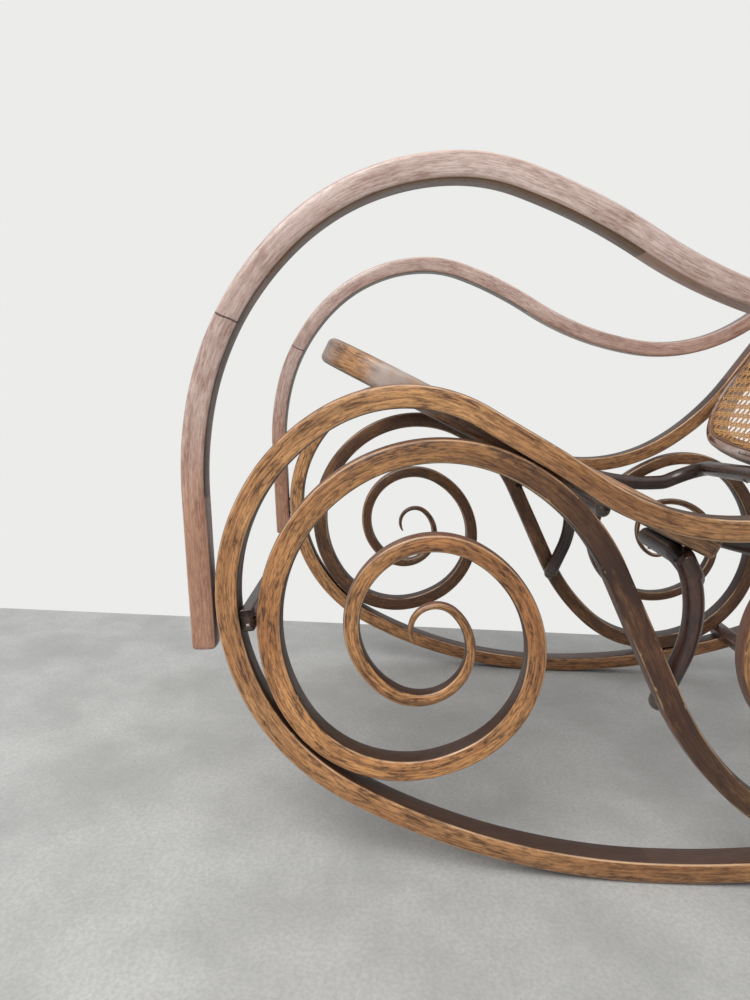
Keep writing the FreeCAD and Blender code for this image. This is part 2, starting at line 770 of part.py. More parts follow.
def check_and_export(nodes):
    """Stop on any failed object or bad shape, then write one file for each sub-part."""
    DOC.recompute()
    failed = [thing.Name for thing in DOC.Objects
              if "Invalid" in thing.State or "Error" in thing.State]
    if failed:
        raise RuntimeError("failed objects: %s" % ", ".join(failed))
    os.makedirs("parts", exist_ok=True)
    for name, node in nodes.items():
        shape = node.Shape
        if shape.isNull() or not shape.isValid():
            raise RuntimeError("bad shape: %s" % name)
        node.Label = name
        place(node, Vector(0, size("contact_back"), 0))
        node.Shape.exportStep("parts/%s.step" % name)
        print(name, len(node.Shape.Solids), round(node.Shape.Volume))


check_and_export(build())
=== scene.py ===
"""Looks of a bentwood rocking chair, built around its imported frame.

Lengths are in metres and angles in degrees. X runs across the chair, Y towards its back and Z up.
The side members are arcs in the side view, as in the part's source, and each is swept here with
its own fibre coordinates, so that the grain follows every bend.
"""
import json
import math

import bpy
import numpy as np
from mathutils import Matrix, Vector

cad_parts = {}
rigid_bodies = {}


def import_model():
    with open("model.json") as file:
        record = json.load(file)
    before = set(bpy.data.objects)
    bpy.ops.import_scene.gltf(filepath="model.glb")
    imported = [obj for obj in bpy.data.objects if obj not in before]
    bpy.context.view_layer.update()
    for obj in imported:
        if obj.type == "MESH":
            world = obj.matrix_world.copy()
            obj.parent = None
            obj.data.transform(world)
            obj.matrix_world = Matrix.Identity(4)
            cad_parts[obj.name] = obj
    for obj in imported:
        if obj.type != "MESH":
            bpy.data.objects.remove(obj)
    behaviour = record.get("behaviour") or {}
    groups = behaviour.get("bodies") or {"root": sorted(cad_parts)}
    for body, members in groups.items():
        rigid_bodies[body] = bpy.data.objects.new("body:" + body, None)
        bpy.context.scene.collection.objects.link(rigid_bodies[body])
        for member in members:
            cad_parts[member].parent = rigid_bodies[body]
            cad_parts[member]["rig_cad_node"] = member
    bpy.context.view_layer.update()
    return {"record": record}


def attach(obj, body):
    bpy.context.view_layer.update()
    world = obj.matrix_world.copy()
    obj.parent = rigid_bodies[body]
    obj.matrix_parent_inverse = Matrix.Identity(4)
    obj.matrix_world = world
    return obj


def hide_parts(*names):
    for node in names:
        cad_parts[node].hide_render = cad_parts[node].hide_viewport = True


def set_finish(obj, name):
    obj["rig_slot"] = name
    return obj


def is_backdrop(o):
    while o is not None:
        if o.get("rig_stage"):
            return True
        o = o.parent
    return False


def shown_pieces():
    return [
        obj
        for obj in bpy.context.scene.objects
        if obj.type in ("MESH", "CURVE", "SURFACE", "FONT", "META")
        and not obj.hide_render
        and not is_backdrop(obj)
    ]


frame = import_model()
rng = np.random.default_rng(11)

# Driving dimensions of the side members
CONTACT_BACK = -0.0578
HALF_WIDTH = 0.280
BOW_WIDTH, BOW_THICK = 0.029, 0.022
ARM_THICK, ARM_LAP = 0.023, 0.070
ARM_FRONT, ARM_TIP_HEIGHT, ARM_LEAN = 0.4236, 0.2102, 4.2
SCROLL_WIDTH = 0.027
SCROLL_TIP = (-0.2312, 0.2209)
SCROLL_TIP_HEADING = 128.9
SIDE_MIDDLE = HALF_WIDTH - BOW_WIDTH / 2
INNER_FACE = HALF_WIDTH - BOW_WIDTH
BOW_CORNER, ARM_CORNER, SCROLL_CORNER = 0.0032, 0.0036, 0.0032

# Arcs are pairs of a signed radius and a turn, and a radius of 0 is a straight run of a length
TAIL_ARCS = [(0.914, 19.7), (1.100, 9.8)]
BOW_ARCS = [(-0.631, 26.8), (-0.2178, 56.7), (-0.1849, 65.1), (-0.1346, 59.2), (0, 0.066),
            (-0.8, 3.6), (0.232, 66.0), (0.35, 21.8), (0, 0.52)]
ARM_ARCS = [(0, 0.1405), (-0.3378, 15.3), (-0.2634, 32.9), (-0.2102, 42.7), (-0.1665, 20.7),
            (-0.5489, 12.4), (0.4369, 23.5), (0.2309, 32.0)]
SCROLL_ARCS = [(-0.0237, 169.0), (-0.0477, 168.3), (-0.076, 177.6), (-0.1078, 120.1),
               (-0.1431, 19.5), (-0.1158, 69.7), (-0.161, 88.9), (-0.1496, 59.6),
               (-0.1927, 38.9), (0, 0.1328), (0.2909, 23.2), (0.1542, 79.6), (0.1607, 90.8),
               (0.1086, 73.5), (0.2217, 19.4), (0.1013, 186.3), (0.0729, 140.8),
               (0.0457, 140.5), (0.0229, 126.2)]

# Caned panels
SEAT_FRONT, SEAT_FRONT_HEIGHT, SEAT_SLOPE = 0.3441, 0.4814, 24.3
SEAT_DEPTH, SEAT_THICK, SEAT_BAR = 0.434, 0.0254, 0.046
SEAT_ROUNDS, SEAT_BENDS = (0.078, 0.014), (1.5, 3.0)
BACK_FOOT, BACK_HEAD, BACK_PROUD = -0.122, 0.508, 0.0075
BACK_THICK, BACK_BAR = 0.022, 0.024
BACK_ROUNDS, BACK_BENDS = (0.115, 0.100), (1.0, 0.515)
PANEL_ROUND_LEAST = 0.012
PANEL_EDGE, PANEL_INNER_TOP, PANEL_INNER_FOOT, GROOVE_EDGE = 0.0055, 0.002, 0.003, 0.0005
PANEL_FRONT_REACH = 0.2
SPLINE_WIDTH, SPLINE_DEPTH, SPLINE_INSET = 0.004, 0.006, 0.009
SPLINE_CROWN, SPLINE_GAP, SPLINE_BED = 0.0012, 0.0001, 0.0002

# Woven cane. Each kind of strand has its direction, width and thickness, how high it lies, how far
# it rises and falls from there, and the axis along which it does so
CANE_THICK, CANE_PITCH, CANE_PAIR = 0.0016, 0.0148, 0.0030
CANE_TUCK, STRAND_LEAST, WEAVE_HEIGHT = 0.0006, 0.012, 0.001
STRANDS = {"up": ((0, 1), 0.0021, 0.00034, -0.19, 0.10, 1),
           "across": ((1, 0), 0.0021, 0.00034, 0.19, 0.10, 0),
           "rising": ((1, 1), 0.0025, 0.00036, 0.0, 0.52, 0),
           "falling": ((-1, 1), 0.0025, 0.00036, 0.0, 0.52, 1)}
STRAND_SHAPE = np.array([(-0.5, -0.1), (-0.42, 0.3), (-0.2, 0.5), (0.2, 0.5), (0.42, 0.3),
                         (0.5, -0.1), (0.3, -0.5), (-0.3, -0.5)])

# Rods tucked between the sides. Pairs are distances behind the floor contact and heights
BRACE_RADIUS, BRACE_SEAT = 0.010, 0.399
BRACE_FOOT, BRACE_KNEE, BRACE_BENDS = (0.006, 0.168), (0.042, 0.262), (0.120, 0.024)
BRACE_REACHES = {"left": 0.143, "right": 0.025}
BACK_BOW_RADIUS, BACK_BOW_HALF, BACK_BOW_SEAT = 0.011, 0.236, 0.361
BACK_BOW_RUN = [(0.104, 0.316), (0.169, 0.322), (0.222, 0.348)]
BACK_BOW_MIDDLE = (0.1966, 0.3629)
BACK_BOW_BENDS = (0.300, 0.040, 0.045, 0.400, 0.045, 0.040, 0.300)
BARE_END = 0.035
STRETCHER_HALF, STRETCHER_DEPTH, STRETCHER_CORNER = HALF_WIDTH - 0.002, 0.021, 0.0022
STRETCHER_EASE, STRETCHER_END, STRETCHER_REACH = 0.0012, 0.004, 0.01

# How finely everything is sampled
STEP = 0.003
CORNER_POINTS, FLAT_POINTS, ROD_POINTS = 5, 5, 28
TIP_ROWS, DOME_ROWS, DOME_SPREAD, STRETCHER_ROWS = 8, 6, 6.2, 150
END_ROWS, SIDE_ROWS, CORNER_ROWS, ROWS_A_PITCH = 80, 70, 28, 7

# How uneven the surfaces are, and how far that is sunk, which keeps them inside the solids
WAVES = (14.0, 27.0, 55.0, 90.0)
BENT_CROWN, BENT_UNEVEN, BENT_SUNK = 0.0006, 0.0003, 0.0002
PANEL_UNEVEN, ROD_UNEVEN = 0.0002, 0.0003
STRETCHER_UNEVEN, STRETCHER_SUNK = 0.000125, 0.0001

# How far the fibre coordinates move along from one seed to the next, so that no two pieces match
BENT_SHIFT, PANEL_SHIFT, ROD_SHIFT, STRETCHER_SHIFT = 3.7, 2.9, 5.1, 4.3

# The bend, as one over its radius, from which the face inside it takes the whole painted shade of
# its hollow colour
HOLLOW_BEND = 8

# The arm's scarf joint, as a length from the arm's lower end
SCARF_PLACE = 0.300

# Noises: scale, detail, roughness, distortion, and the two values between which each one rises
NOISES = {"tone": ((30, 30, 7.0), 3, 0.5, 0.0, 0.36, 0.64),
          "stripe": ((420, 420, 7.0), 3, 0.65, 0.1, 0.44, 0.60),
          "speck": ((600, 600, 85.0), 2, 0.6, 0.0, 0.46, 0.58),
          "pore": ((1500, 1500, 120.0), 2, 0.6, 0.0, 0.54, 0.66),
          "blotch": ((80, 80, 30.0), 4, 0.62, 0.0, 0.42, 0.68),
          "patch": ((45, 45, 11.0), 4, 0.65, 0.0, 0.36, 0.52),
          "edge_wear_and_highlight": ((60, 60, 14.0), 3, 0.6, 0.0, 0.38, 0.60),
          "chip": ((260, 260, 110.0), 2, 0.5, 0.0, 0.68, 0.71),
          "gloss": ((70, 70, 16.0), 3, 0.6, 0.0, 0.35, 0.65),
          "wobble": ((30, 30, 1.0), 1, 0.5, 0.0, 0.3, 0.7),
          "sheen_cloud": ((30, 30, 17.0), 3, 0.6, 0.0, 0.40, 0.62),
          "cane_line": ((2600, 2600, 22.0), 2, 0.5, 0.0, 0.4, 0.65),
          "cane_spot": ((160, 160, 34.0), 3, 0.6, 0.0, 0.52, 0.72),
          "rust": ((420, 420, 420), 3, 0.6, 0.0, 0.42, 0.62),
          "floor_cloud": ((5, 5, 5), 5, 0.65, 0.0, 0.3, 0.7),
          "floor_grit": ((240, 240, 240), 3, 0.7, 0.0, 0.35, 0.65)}

# Woods, whose colours are as they look, from 0 to 255. What a wood leaves out is as in PLAIN_WOOD
# The ridge colour goes on pale edges, partly abraded finish and partly a painted highlight.
PLAIN_WOOD = {"flank": None, "hollow": None, "specks": 0.8, "streaks": 0.4, "wear_and_highlight": 0.7,
              "mottle": 0.5, "rough": (0.34, 0.52), "coat": 0.25, "chips": 0.5, "tinted": 0.0}
# In bent woods, flank colours the convex face in the plane of the bend, partly a darker stain and
# partly painted sheen, and hollow is painted shade on the concave face.
WOODS = {
    "honey_bentwood": {
        "light": (222, 166, 110), "middle": (192, 136, 86), "dark": (66, 36, 20),
        "ridge": (226, 188, 150), "flank": (122, 88, 74), "hollow": (38, 18, 9),
        "mottle": 0.35, "tinted": 0.85},
    # The arm's pale lilac-grey colours and its pale flank are partly painted sheen of the sky on
    # its varnish; its hollow is painted shade.
    "arm_bentwood_painted_sheen": {
        "light": (222, 204, 198), "middle": (204, 184, 178), "dark": (132, 92, 76),
        "ridge": (226, 200, 184), "flank": (170, 146, 138), "hollow": (34, 14, 4),
        "specks": 0.5, "streaks": 0.3, "mottle": 0.3, "rough": (0.26, 0.38), "coat": 0.7},
    "scroll_bentwood": {
        "light": (226, 164, 104), "middle": (192, 130, 78), "dark": (52, 28, 17),
        "ridge": (224, 184, 144), "flank": (124, 88, 72), "hollow": (38, 18, 9),
        "mottle": 0.35, "tinted": 1.0},
    "frame_wood": {
        "light": (200, 150, 104), "middle": (166, 118, 78), "dark": (74, 44, 30),
        "ridge": (210, 172, 134), "rough": (0.28, 0.45), "coat": 0.4},
    "dark_rod": {
        "light": (84, 50, 36), "middle": (50, 31, 26), "dark": (20, 14, 14),
        "ridge": (110, 74, 52), "specks": 0.4, "mottle": 0.6, "rough": (0.18, 0.34),
        "coat": 0.7, "chips": 0.2},
    "reed": {
        "light": (150, 100, 58), "middle": (120, 78, 44), "dark": (70, 42, 24),
        "ridge": (176, 128, 84), "specks": 0.4}}

# The stage, the camera and the lamp
WALL_LINE = -0.45
WALL_LOOK = (236, 236, 234)
FLOOR_SIZE, FLOOR_DROP = 14, 0.0005
CAMERA_PLACE = (0.9264, CONTACT_BACK - 0.2677, 0.4590)
CAMERA_YAW, CAMERA_PITCH, CAMERA_ROLL = -0.53, 9.03, 2.4
LENS, SENSOR, NEAREST = 27.0, 36.0, 0.02
SKY_LOW, SKY_HIGH, SKY_TOP = 0.20, 1.0, 0.9
KEY_PLACE, KEY_AIM = (1.9, -1.4, 2.3), (0, 0, 0.35)
KEY_SIZE, KEY_POWER, KEY_COLOUR = 1.8, 62, (1.0, 0.98, 0.95)


def direction(angle):
    """Unit vector in the side view, at this angle from +Y towards +Z."""
    return np.array([math.cos(math.radians(angle)), math.sin(math.radians(angle))])


class Chain:
    """Tangent arcs and straight runs in the side view, sampled at any length along them."""

    def __init__(self, start, heading, arcs):
        self.arcs = list(arcs)
        self.nodes = [np.array(start, float)]
        self.headings = [heading]
        self.lengths = [0.0]
        for radius, turn in self.arcs:
            point, heading, length = self.along(len(self.nodes) - 1, radius, turn, 1.0)
            self.nodes.append(point)
            self.headings.append(heading)
            self.lengths.append(self.lengths[-1] + length)

    def along(self, index, radius, turn, share):
        """Point, heading and length after a share of one arc."""
        point, heading = self.nodes[index], self.headings[index]
        if radius == 0:
            return point + direction(heading) * turn * share, heading, turn * share
        turned = math.copysign(turn * share, radius)
        centre = point + direction(heading + 90) * radius
        length = abs(radius) * math.radians(turn * share)
        return centre - direction(heading + turned + 90) * radius, heading + turned, length

    def at(self, length):
        """A row of y, z, heading and signed bend, at a length along the chain."""
        index = np.searchsorted(self.lengths, length, side="right") - 1
        index = int(np.clip(index, 0, len(self.arcs) - 1))
        radius, turn = self.arcs[index]
        share = (length - self.lengths[index]) / (self.lengths[index + 1] - self.lengths[index])
        point, heading, _ = self.along(index, radius, turn, share)
        return point[0], point[1], heading, 1 / radius if radius else 0.0


def bow_chain():
    """The side bow, from the runner's rear tip to the top of the upright."""
    tail = Chain((0, BOW_THICK / 2), 0, TAIL_ARCS)
    to_contact = [(-radius, turn) for radius, turn in reversed(TAIL_ARCS)]
    return Chain(tail.nodes[-1], tail.headings[-1] + 180, to_contact + BOW_ARCS)


def arm_chain(bow):
    """The arm, whose last bend brings it flat against the front of the upright."""
    start, heading = (-ARM_FRONT, ARM_TIP_HEIGHT), 90 + ARM_LEAN
    free = Chain(start, heading, ARM_ARCS)
    lean = bow.headings[-1]
    forward = direction(lean + 90)
    lap_line = bow.nodes[-2] + forward * (BOW_THICK + ARM_THICK) / 2
    turn = lean - free.headings[-1]
    bend = (free.nodes[-1] - lap_line) @ forward / (1 - math.cos(math.radians(turn)))
    return Chain(start, heading, ARM_ARCS + [(bend, turn), (0, ARM_LAP)])


def add_piece(name, mesh, slot, node, body="root"):
    """A new piece of the object: it rides on a body, takes a slot and stands in for a node."""
    piece = bpy.data.objects.new(name, mesh)
    bpy.context.scene.collection.objects.link(piece)
    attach(piece, body)
    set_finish(piece, slot)
    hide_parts(node)


def make_mesh(name, points, faces, **values):
    """A smooth mesh. Arrays of one or three numbers a vertex become its point attributes."""
    mesh = bpy.data.meshes.new(name)
    mesh.from_pydata(points.tolist(), [], faces)
    mesh.update()
    mesh.shade_smooth()
    for key, array in values.items():
        kind, field = ("FLOAT_VECTOR", "vector") if array.ndim == 2 else ("FLOAT", "value")
        attribute = mesh.attributes.new(key, kind, "POINT")
        attribute.data.foreach_set(field, array.astype(np.float32).ravel())
    return mesh


def tube_mesh(name, rings, closed=False, **values):
    """Quads between rings of points, with a fan on each open end. Attribute arrays follow."""
    count, around = rings.shape[:2]
    points = rings.reshape(-1, 3)
    index = np.arange(count * around).reshape(count, around)
    here, ahead = (index, np.roll(index, -1, axis=0)) if closed else (index[:-1], index[1:])
    quads = [here, np.roll(here, -1, axis=1), np.roll(ahead, -1, axis=1), ahead]
    faces = np.stack(quads, axis=-1).reshape(-1, 4).tolist()
    arrays = {key: value.reshape((count * around,) + value.shape[2:])
              for key, value in values.items()}
    for ring, way in () if closed else ((0, 1), (count - 1, -1)):
        middle, edge = len(points), index[ring].tolist()
        points = np.vstack([points, rings[ring].mean(axis=0)])
        for key, value in arrays.items():
            arrays[key] = np.concatenate([value, value[edge].mean(axis=0)[None]])
        for pair in zip(edge, edge[1:] + edge[:1]):
            faces.append([middle, *pair[::way]])
    return make_mesh(name, points, faces, **arrays)


def fibre_coordinates(across, high, along):
    """Places in the wood: across and high in its section, and along its fibres."""
    return np.stack(np.broadcast_arrays(across, high, along), axis=-1)


def nearness(share):
    """How near a point that is a share of the way round a corner is to the corner's ridge."""
    return math.sin(math.pi * share) * 0.75 + 0.25


def section(width, thick, corner, crown):
    """Rounded rectangles, one a row: across and high of their points, and nearness to a ridge."""
    across, high, ridge = [], [], []
    half_w, half_t = width / 2, thick / 2
    corner = np.minimum(corner, np.minimum(0.45 * width, 0.45 * thick))
    flat_w, flat_t = half_w - corner, half_t - corner
    for quarter, (u_sign, v_sign) in enumerate(((1, -1), (1, 1), (-1, 1), (-1, -1))):
        for k in range(CORNER_POINTS):
            share = k / (CORNER_POINTS - 1)
            angle = math.radians(90 * (quarter - 1 + share))
            across.append(u_sign * flat_w + corner * math.cos(angle))
            high.append(v_sign * flat_t + corner * math.sin(angle))
            ridge.append(np.full_like(width, nearness(share)))
        for k in range(1, FLAT_POINTS + 1):
            share = k / (FLAT_POINTS + 1)
            bulge = crown * 4 * share * (1 - share)
            if quarter % 2:
                across.append(u_sign * flat_w * (1 - 2 * share))
                high.append(v_sign * (half_t + bulge))
            else:
                across.append(u_sign * (half_w + bulge))
                high.append(v_sign * flat_t * (1 - 2 * share))
            ridge.append(np.zeros_like(width))
    return np.array(across).T, np.array(high).T, np.array(ridge).T


def waviness(lengths, around, size, seed):
    """Gentle hand-made unevenness along a rod and round it, smooth and seeded."""
    random = np.random.default_rng(seed)
    angle = np.linspace(0, 2 * math.pi, around, endpoint=False)[None, :]
    total = np.zeros((len(lengths), around))
    for wave in WAVES:
        phase, turns = random.uniform(0, 6.28), random.integers(0, 4)
        swing = np.sin(wave * lengths[:, None] + phase + turns * angle)
        total += swing * size / math.sqrt(wave / WAVES[0])
    return total / 3


def end_scale(lengths, ends, blunt):
    """How far each row of a rod is drawn in, so that both ends are rounded over a length."""
    scale = np.ones(len(lengths))
    for end, along in ((0, lengths - lengths[0]), (1, lengths[-1] - lengths)):
        share = np.clip(along / ends[end], 0, 1)
        round_off = np.sqrt(np.maximum(0, 1 - (1 - share) ** 2))
        scale = np.minimum(scale, blunt[end] + (1 - blunt[end]) * round_off)
    return scale


def bent_member(name, node, chain, stations, corner, side, seed, tints, ends=(0.004, 0.004),
                blunt=(0.6, 0.6)):
    """Sweep a rounded section along a chain, with the fibre coordinates that the grain follows."""
    total = chain.lengths[-1]
    fine = np.linspace(0, 1, TIP_ROWS)[:-1] ** 2
    middle = np.linspace(ends[0], total - ends[1], int((total - ends[0] - ends[1]) / STEP))
    lengths = np.concatenate([fine * ends[0], middle, (total - fine * ends[1])[::-1]])
    y, z, heading, bend = np.array([chain.at(length) for length in lengths]).T[..., None]
    places = [chain.lengths[index] for index, _ in stations]
    width = np.interp(lengths, places, [size[0] for _, size in stations])
    thick = np.interp(lengths, places, [size[1] for _, size in stations])
    across, high, ridge = section(width - 2 * BENT_CROWN, thick - 2 * BENT_CROWN, corner,
                                  BENT_CROWN)
    uneven = waviness(lengths, across.shape[1], BENT_UNEVEN, seed) - BENT_SUNK
    grown = 1 + uneven / np.hypot(across, high)
    scale = end_scale(lengths, ends, blunt)[:, None]
    across, high = across * grown * scale, high * grown * scale
    turned = np.radians(heading + 90)
    rings = np.stack([side * (SIDE_MIDDLE + across), y + CONTACT_BACK + high * np.cos(turned),
                      z + high * np.sin(turned)], axis=-1)
    along = np.broadcast_to(lengths[:, None], across.shape)
    values = {"ridge": ridge, "fibre": fibre_coordinates(across, high, along + BENT_SHIFT * seed),
              # flank picks out the faces in the plane of the bend and hollow their concave side,
              # where the colour holds painted sheen and painted shade.
              "flank": np.abs(high) / thick[:, None] - np.abs(across) / width[:, None],
              "hollow": np.sign(high) * np.clip(bend, -HOLLOW_BEND, HOLLOW_BEND) / HOLLOW_BEND,
              "along": along,
              "tint": np.interp(along, [chain.lengths[index] for index, _ in tints],
                                [value for _, value in tints])}
    order = slice(None, None, -1) if side > 0 else slice(None)
    values = {key: value[:, order] for key, value in values.items()}
    add_piece(name, tube_mesh(name, rings[:, order], **values), "bent_wood", node)


bow = bow_chain()
arm = arm_chain(bow)
scroll = Chain(SCROLL_TIP, SCROLL_TIP_HEADING, SCROLL_ARCS)

# Width and thickness at nodes of each chain
BOW_STATIONS = [(0, (BOW_WIDTH, BOW_THICK)), (len(bow.arcs), (BOW_WIDTH, BOW_THICK))]
ARM_STATIONS = [(0, (0.025, ARM_THICK)), (1, (0.025, ARM_THICK)), (3, (0.034, ARM_THICK)),
                (6, (0.034, ARM_THICK)), (8, (0.026, ARM_THICK)), (10, (0.026, ARM_THICK))]
SCROLL_STATIONS = [(0, (0.009, 0.005)), (2, (0.020, 0.015)), (6, (SCROLL_WIDTH, 0.023)),
                   (12, (SCROLL_WIDTH, 0.023)), (16, (0.020, 0.015)), (19, (0.009, 0.005))]

# How much darker each member is coloured, from 0 to 1, at nodes of each chain
BOW_TINTS = [(0, 0.45), (2, 0.40), (4, 0.05), (6, 0.10), (8, 0.45), (len(bow.arcs), 0.30)]
ARM_TINTS = [(0, 0.15), (len(arm.arcs), 0.15)]
SCROLL_TINTS = {"left": [(0, 0.35), (3, 0.15), (6, 0.05), (7, 0.25), (8, 0.75), (9, 1.0),
                         (11, 0.9), (13, 0.5), (19, 0.45)],
                "right": [(0, 0.80), (19, 0.85)]}


def add_sides():
    """Both side bows, arms and scrolls."""
    for hand, side, seed in (("left", 1, 1), ("right", -1, 5)):
        bent_member(hand + "_bow_wood", hand + "_side_bow", bow, BOW_STATIONS, BOW_CORNER, side,
                    seed, BOW_TINTS, ends=(0.006, 0.010), blunt=(0.6, 0.35))
        bent_member(hand + "_arm_wood", hand + "_arm", arm, ARM_STATIONS, ARM_CORNER, side,
                    seed + 1, ARM_TINTS)
        bent_member(hand + "_scroll_wood", hand + "_scroll", scroll, SCROLL_STATIONS,
                    SCROLL_CORNER, side, seed + 2, SCROLL_TINTS[hand], ends=(0.020, 0.020),
                    blunt=(0.12, 0.12))


class Panel:
    """A flat caned frame in its own plane: across, up the panel, and out of its front face."""

    def __init__(self, name, foot, head, rounds, bends, bar, thick, origin, angle):
        self.name = name
        self.sizes = (foot, head, rounds, bends)
        self.bar, self.thick = bar, thick
        self.rebate = bar - SPLINE_INSET
        self.groove = self.rebate - SPLINE_WIDTH
        self.origin = np.array(origin)
        turn = math.radians(angle)
        self.up = np.array([0, math.cos(turn), math.sin(turn)])
        self.out = np.array([0, -math.sin(turn), math.cos(turn)])

    def world(self, across, up, out):
        """Points of the panel's plane in the frame of the chair."""
        across, up, out = np.broadcast_arrays(across, up, out)
        return (self.origin + across[..., None] * np.array([1.0, 0, 0]) + up[..., None] * self.up
                + out[..., None] * self.out)

    def outline(self, inset=0.0):
        """Points, outward normals and lengths round the edge or a line inset from it, closed."""
        foot, head, rounds, bends = self.sizes
        half = INNER_FACE - inset
        foot_round, head_round = (max(size - inset, PANEL_ROUND_LEAST) for size in rounds)
        foot_bend, head_bend = bends[0] - inset, bends[1] - inset
        foot_reach, head_reach = half - foot_round, half - head_round
        foot_centre, head_centre = foot + inset + foot_bend, head - inset - head_bend
        foot_corner = foot_centre - math.sqrt((foot_bend - foot_round) ** 2 - foot_reach ** 2)
        head_corner = head_centre + math.sqrt((head_bend - head_round) ** 2 - head_reach ** 2)
        foot_angle = math.atan2(foot_corner - foot_centre, foot_reach)
        head_angle = math.atan2(head_corner - head_centre, head_reach)
        points, normals = [], []

        def arc(x, y, radius, first, last, count=CORNER_ROWS):
            for k in range(count):
                angle = first + (last - first) * k / count
                points.append((x + radius * math.cos(angle), y + radius * math.sin(angle)))
                normals.append((math.cos(angle), math.sin(angle)))

        def straight(side, low, high):
            for k in range(SIDE_ROWS):
                points.append((side * half, low + (high - low) * k / SIDE_ROWS))
                normals.append((side, 0.0))

        arc(0, foot_centre, foot_bend, -math.pi / 2, foot_angle, END_ROWS // 2)
        arc(foot_reach, foot_corner, foot_round, foot_angle, 0)
        straight(1, foot_corner, head_corner)
        arc(head_reach, head_corner, head_round, 0, head_angle)
        arc(0, head_centre, head_bend, head_angle, math.pi - head_angle, END_ROWS)
        arc(-head_reach, head_corner, head_round, math.pi - head_angle, math.pi)
        straight(-1, head_corner, foot_corner)
        arc(-foot_reach, foot_corner, foot_round, math.pi, math.pi - foot_angle)
        arc(0, foot_centre, foot_bend, math.pi - foot_angle, 1.5 * math.pi, END_ROWS // 2)
        points, normals = np.array(points), np.array(normals)
        steps = np.linalg.norm(np.diff(points, axis=0), axis=1)
        return points, normals, np.concatenate([[0], np.cumsum(steps)])

    def add_ring(self, name, node, profile, ridge, flank, slot, seed):
        """Sweep a closed profile of inset and height round the panel."""
        _, normals, lengths = self.outline()
        profile, ridge, flank = (np.array(rows[::-1]) for rows in (profile, ridge, flank))
        inset, height = profile[None, :, 0], profile[None, :, 1]
        uneven = np.abs(waviness(lengths, len(profile), PANEL_UNEVEN, seed))
        flat = np.stack([self.outline(value)[0] for value in profile[:, 0]], axis=1)
        flat = flat - normals[:, None, :] * uneven[..., None]
        rings = self.world(flat[..., 0], flat[..., 1], height)
        fibre = fibre_coordinates(inset, height, lengths[:, None] + PANEL_SHIFT * seed)
        ridge, flank = (np.broadcast_to(row, rings.shape[:2]) for row in (ridge, flank))
        # front rises to 1 at the panel's foot, where the frame's colour holds a pale painted sheen.
        front = np.clip(1 - (flat[..., 1] - self.sizes[0]) / PANEL_FRONT_REACH, 0, 1)
        mesh = tube_mesh(name, rings, closed=True, fibre=fibre, ridge=ridge, flank=flank,
                         front=front)
        add_piece(name, mesh, slot, node)

    def add_frame(self, seed):
        """The bent frame with rounded edges, its rebate for the cane and its groove."""
        top, bed, ledge = self.thick, self.thick - SPLINE_DEPTH, self.thick - CANE_THICK
        # flank is 1 on the top faces and -1 on the undersides, whose colour holds painted shade.
        profile, ridge, flank = [], [], []

        def rounded(x, y, radius, first, steps=4):
            for k in range(steps + 1):
                angle = math.radians(first - 90 * k / steps)
                profile.append((x + radius * math.cos(angle), y + radius * math.sin(angle)))
                ridge.append(nearness(k / steps))
                flank.append(math.sin(angle))

        def flat(x, y, facing=0.0):
            profile.append((x, y))
            ridge.append(0.0)
            flank.append(facing)

        rounded(PANEL_EDGE, PANEL_EDGE, PANEL_EDGE, 270)
        flat(0, self.thick * 0.4)
        flat(0, self.thick * 0.6)
        rounded(PANEL_EDGE, top - PANEL_EDGE, PANEL_EDGE, 180)
        flat(self.groove * 0.5, top, 1.0)
        rounded(self.groove - GROOVE_EDGE, top - GROOVE_EDGE, GROOVE_EDGE, 90, 2)
        flat(self.groove, bed)
        flat(self.rebate, bed)
        rounded(self.rebate + GROOVE_EDGE, ledge - GROOVE_EDGE, GROOVE_EDGE, 180, 2)
        rounded(self.bar - PANEL_INNER_TOP, ledge - PANEL_INNER_TOP, PANEL_INNER_TOP, 90)
        rounded(self.bar - PANEL_INNER_FOOT, PANEL_INNER_FOOT, PANEL_INNER_FOOT, 0)
        self.add_ring(self.name + "_frame_wood", self.name + "_frame", profile, ridge, flank,
                      "frame_wood", seed)

    def add_spline(self, seed):
        """The reed spline, slightly crowned, that wedges the cane."""
        middle, half = self.rebate - SPLINE_WIDTH / 2, SPLINE_WIDTH / 2 - SPLINE_GAP
        bed = self.thick - SPLINE_DEPTH + SPLINE_BED
        profile = [(middle - half, bed)]
        for k in range(7):
            angle = math.pi * (1 - k / 6)
            profile.append((middle + half * math.cos(angle),
                            self.thick - SPLINE_CROWN + SPLINE_CROWN * math.sin(angle)))
        profile.append((middle + half, bed))
        plain_values = [0.0] * len(profile)
        self.add_ring(self.name + "_reed", self.name + "_spline", profile, plain_values,
                      plain_values, "reed_spline", seed)

    def add_weave(self):
        """Woven cane: pairs of strands both ways, and one strand along each diagonal."""
        edge = self.outline(self.rebate + CANE_TUCK)[0]
        low, high = edge.min(axis=0), edge.max(axis=0)
        middle = (low + high) / 2
        reach = int(max(high - low) / CANE_PITCH) + 2
        strands = []
        for k in range(-reach, reach + 1):
            for offset in (-CANE_PAIR / 2, CANE_PAIR / 2):
                strands.append(((middle[0] + k * CANE_PITCH + offset, middle[1]), "up"))
                strands.append(((middle[0], middle[1] + k * CANE_PITCH + offset), "across"))
        for k in range(-2 * reach, 2 * reach + 1):
            start = (middle[0] + (k + 0.5) * CANE_PITCH, middle[1])
            strands += [(start, "rising"), (start, "falling")]
        bands = []
        for start, kind in strands:
            start, way = np.array(start), np.array(STRANDS[kind][0])
            way = way / np.linalg.norm(way)
            span = clip_line(edge, start, way)
            if span and span[1] - span[0] >= STRAND_LEAST:
                bands.append(self.strand(start, way, kind, span, middle))
        join_strands(self.name + "_weave", self.name + "_cane", bands)

